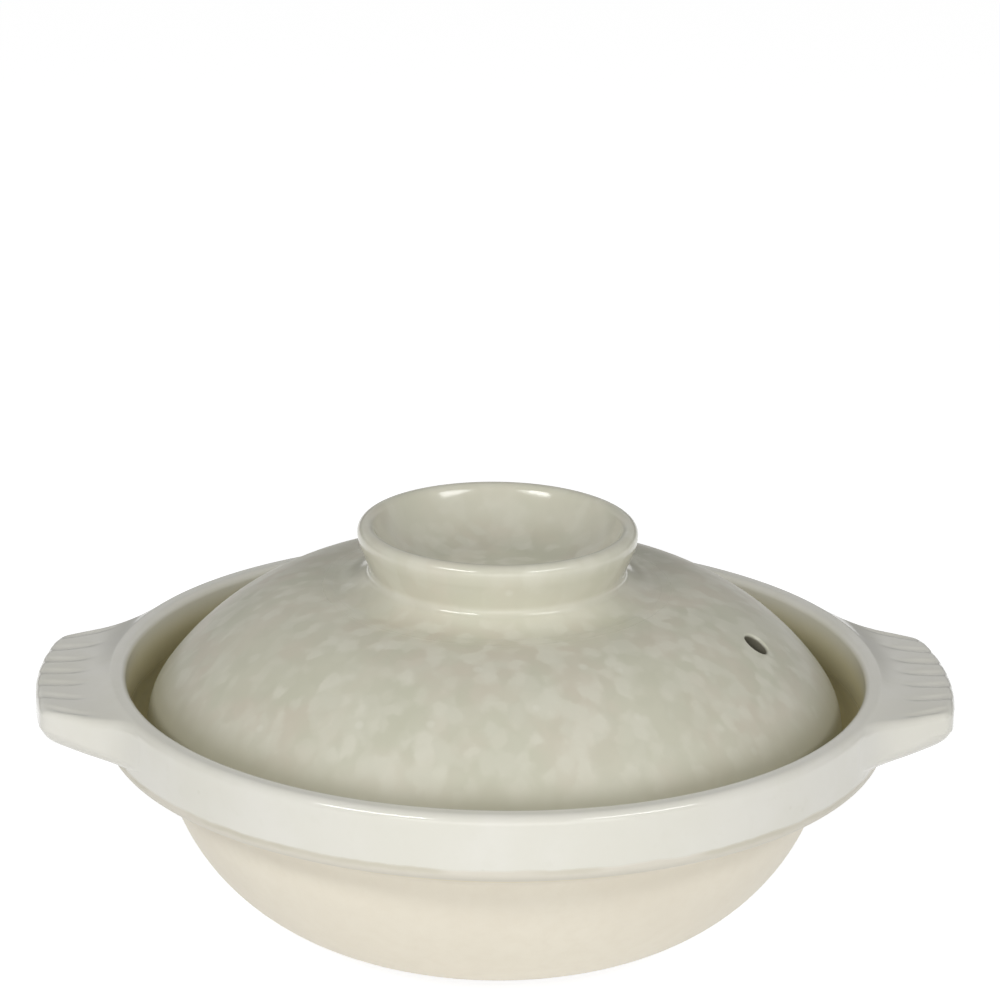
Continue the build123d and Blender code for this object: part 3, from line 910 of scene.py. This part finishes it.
def lip_rings(shape, skin, ring, mouth, axis, facing):
    """Adds rings from a gap's edge to the circle and over the lip. Returns the last ring."""
    side = axis.cross(Vector((0, 0, 1))).normalized()
    up = side.cross(axis)
    seen = [((v.co - mouth).dot(up), (v.co - mouth).dot(side)) for v in ring]
    angles = [math.atan2(*pair) for pair in seen]
    spans = [math.hypot(*pair) / MM for pair in seen]
    circle = HOLE_RADIUS + HOLE_LIP
    stages = [(share, 0, 0) for share in (0.3, 0.6, 0.82, 0.94, 1)]
    for turn in np.radians((12, 26, 40, 55, 70, 90)):
        stages.append((1, HOLE_LIP * math.sin(turn), HOLE_LIP * (1 - math.cos(turn))))
    stages.append((1, HOLE_LIP, HOLE_LIP + HOLE_STRAIGHT))
    for share, inset, sunk in stages:
        fresh = []
        for angle, span in zip(angles, spans):
            reach = span + (circle - span) * share - inset
            flat = mouth + (side * math.cos(angle) + up * math.sin(angle)) * reach * MM
            start = flat + axis * facing * PROBE
            hit = skin.ray_cast(start, -axis * facing)[0]
            fresh.append(shape.verts.new(hit - axis * facing * sunk * MM))
        for corners in zip(ring, ring[1:] + ring[:1], fresh[1:] + fresh[:1], fresh):
            shape.faces.new(corners)
        ring = fresh
    return ring


def pierce(piece):
    mouth, axis = hole_axis()
    shape = bmesh.new()
    shape.from_mesh(piece.data)
    ends = []
    for facing in (1, -1):
        skin = BVHTree.FromBMesh(shape)
        near = []
        for face in shape.faces:
            away = face.calc_center_median() - mouth
            off = (away - axis * away.dot(axis)).length / MM
            close = off < HOLE_RADIUS + CLEARED and abs(away.dot(axis)) < PROBE
            if close and face.normal.dot(axis) * facing > 0.5:
                near.append(face)
        ring = ring_of(shape, near)
        ends.append(lip_rings(shape, skin, ring, mouth, axis, facing))
    pairs = [pair for ring in ends for pair in zip(ring, ring[1:] + ring[:1])]
    bmesh.ops.bridge_loops(shape, edges=[shape.edges.get(pair) for pair in pairs])
    for face in shape.faces:
        face.smooth = True
    shape.to_mesh(piece.data)
    shape.free()
    return face_outwards(piece)


pierce(dome)

# %% [markdown]
# ## The ring knob
# The knob is a ring thrown on to the dome: a rolled lip, a wall that draws in straight to the neck,
# and a foot that runs out over the dome in a soft cove. Turned over, it is the foot that the lid
# stands on. Inside it is one smooth bowl, drawn as a curve with one pull point, because a corner
# there would catch the light.

# %% Throw the knob
LIP_RADIUS, LIP_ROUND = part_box("lid_knob")[1].x / MM, 3.0
KNOB_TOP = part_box("lid_knob")[1].z / MM
DISH, DISH_RADIUS, DISH_PULL = KNOB_TOP - 16.9, 14.0, 33.6
OUTER_ROUND, OUTER_TURN, INNER_TURN = 12, 22.3, 152
NECK, TOE = (42.3, LEVEL + 4.6), (51.0, LEVEL - 0.02)
COVE_ROUND, HIDDEN_DEPTH, HIDDEN_WIDTH = 16.0, 2, 4.8


def knob_outline():
    lip_height = KNOB_TOP - LIP_ROUND
    outer = curved((LIP_RADIUS - OUTER_ROUND, lip_height), OUTER_ROUND, 0, -OUTER_TURN)
    lip = curved((LIP_RADIUS - LIP_ROUND, lip_height), LIP_ROUND, INNER_TURN, 0)
    start, pull = np.array((DISH_RADIUS, DISH)), np.array((DISH_PULL, DISH + 0.1))
    t = np.linspace(0, 1, 200)[:, None]
    hollow = (1 - t) ** 2 * start + 2 * (1 - t) * t * pull + t**2 * lip[0]
    skirt, below = (TOE[0] + HIDDEN_WIDTH, TOE[1]), TOE[1] - HIDDEN_DEPTH
    runs = [
        straight((0, DISH), start),
        hollow,
        lip,
        outer,
        straight(outer[-1], NECK),
        straight(NECK, TOE),
        straight(TOE, skirt),
        straight(skirt, (TOE[0], below)),
        straight((TOE[0], below), (0, below)),
    ]
    return outline_of(runs, [0, 0, 0, 0, 3.0, COVE_ROUND, 0, 0], longest=2.4)


outline = knob_outline()
knob = thrown("ring_knob", outline, lid_glaze)
print(f"knob outline has {len(outline)} points")

# %% [markdown]
# ## A little movement in the kiln
# Fired clay is never quite round. This last tree draws every point towards the middle of the foot by
# up to 0.15 percent, following noise as wide as a hand. Every piece goes through the same tree, and
# the noise depends only on the place, so the pieces move together and their joints stay closed.
# It only ever draws inwards, because the pot may not grow past its CAD size.

# %% Fire the pieces
def kiln_tree():
    inputs = [("Shrinkage", "NodeSocketFloat"), ("Size", "NodeSocketFloat")]
    bench, given = new_tree("settle_in_the_kiln", inputs + [("Finish", "NodeSocketMaterial")])
    place = bench.node("GeometryNodeInputPosition").outputs[0]
    sockets = {"Vector": place, "Scale": 1 / Reading(bench, given["Size"]), "Detail": 1.0}
    noise = bench.reading(bench.node("ShaderNodeTexNoise", sockets))
    amount = noise.rising(0.25, 0.75) * Reading(bench, given["Shrinkage"])
    offset = bench.vector("SCALE", place, 0 - amount)
    fired = bench.node("GeometryNodeSetPosition", {"Geometry": given["Geometry"], "Offset": offset})
    return close_tree(bench, fired.outputs[0], given["Finish"])


kiln = kiln_tree()
places = [
    (bowl, "pot_bowl", "pot", pot_glaze),
    (right_ear, "ear_right", "pot", pot_glaze),
    (left_ear, "ear_left", "pot", pot_glaze),
    (dome, "lid_dome", "lid", lid_glaze),
    (knob, "lid_knob", "lid", lid_glaze),
]
for piece, node, body, finish in places:
    run_tree(piece, kiln, Shrinkage=0.0015, Size=0.09, Finish=finish)
    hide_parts(node)
    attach(piece, body)
    print(piece.name, "stands for", node, "with", len(piece.data.polygons), "faces")

# %% [markdown]
# ## The studio
# The pot stands on a wide white table under two long, narrow soft boxes, one on each side in front
# and 37 degrees up. Being narrow, they show in the glaze as thin streaks. A broad, weak panel near the
# table fills in the belly. The surround is dim, with one paler band 16 degrees above the horizon.
# The table looks paper white because a glow, which direct looks and reflections see, lifts its colour.
# A faint lit part stays with it, so the pot keeps its soft shadow.

# %% Light the pot
LIT_HEIGHT = 0.07
SURROUND = [(0.0, 0.2), (0.15, 0.25), (0.28, 0.62), (0.45, 0.27), (1.0, 0.2)]
TABLE_RADIUS, TABLE_LIT, TABLE_FAINT, TABLE_GLOW = 8.0, 0.9, 0.35, 0.88


def soft_box(name, azimuth, elevation, width, height, distance, brightness):
    """A soft box that faces the pot. A bigger box of the same brightness gives more light."""
    angle, rise = math.radians(azimuth), math.radians(elevation)
    away = Vector((math.sin(angle) * math.cos(rise), -math.cos(angle) * math.cos(rise), math.sin(rise)))
    away.rotate(Matrix.Rotation(TURN, 3, "Z"))
    lamp = bpy.data.lights.new(name, "AREA")
    lamp.shape, lamp.size, lamp.size_y = "RECTANGLE", width, height
    lamp.energy = brightness * math.pi * width * height
    holder = put_in_scene(name, lamp)
    holder.rotation_mode = "QUATERNION"
    holder.location = Vector((0, 0, LIT_HEIGHT)) + away * distance
    holder.rotation_quaternion = (-away).to_track_quat("-Z", "Y")
    holder.visible_camera = False
    return holder


soft_box("left_soft_box", -36, 37, 1.0, 0.28, 2.0, 13.5)
soft_box("right_soft_box", 45, 37, 1.0, 0.28, 2.0, 8.8)
soft_box("low_fill_panel", 4, 8, 2.2, 0.6, 1.8, 2.0)


def surround():
    """A dim room with a paler band above the horizon. Its stops are sines of the angle upwards."""
    world = bpy.data.worlds.new("studio_surround")
    bpy.context.scene.world = world
    bench = bare_bench(world)
    rise = bench.split(bench.node("ShaderNodeTexCoord").outputs["Generated"])[2]
    stops = [(place, (level,) * 3) for place, level in SURROUND]
    tone = bench.node("ShaderNodeValToRGB", {0: rise}, stops=stops)
    glow = bench.node("ShaderNodeBackground", {"Color": tone.outputs[0]})
    bench.node("ShaderNodeOutputWorld", {0: glow.outputs[0]})
    return world


def table():
    """A wide white disc that keeps the pot's shadow."""
    mesh = bpy.data.meshes.new("studio_table")
    shape = bmesh.new()
    bmesh.ops.create_circle(shape, cap_ends=True, radius=TABLE_RADIUS, segments=128)
    shape.to_mesh(mesh)
    shape.free()
    disc = put_in_scene("studio_table", mesh)
    material = bpy.data.materials.new("white_table")
    bench = bare_bench(material)
    lit, faint = (
        bench.node("ShaderNodeBsdfDiffuse", {"Color": (level, level, level, 1)})
        for level in (TABLE_LIT, TABLE_FAINT)
    )
    glow = bench.node("ShaderNodeEmission", {"Color": (1, 1, 1, 1), "Strength": TABLE_GLOW})
    seen = bench.node("ShaderNodeAddShader", {0: faint.outputs[0], 1: glow.outputs[0]})
    path = bench.node("ShaderNodeLightPath").outputs
    direct = Reading(bench, path["Is Camera Ray"]) + Reading(bench, path["Is Glossy Ray"])
    direct = (direct + Reading(bench, path["Is Transmission Ray"])).at_most(1)
    both = bench.node("ShaderNodeMixShader", {0: direct, 1: lit.outputs[0], 2: seen.outputs[0]})
    bench.node("ShaderNodeOutputMaterial", {0: both.outputs[0]})
    mesh.materials.append(material)
    return disc


surround()
table()
bpy.context.scene.view_settings.view_transform = "Standard"
print("studio has", len(bpy.data.lights), "lamps")
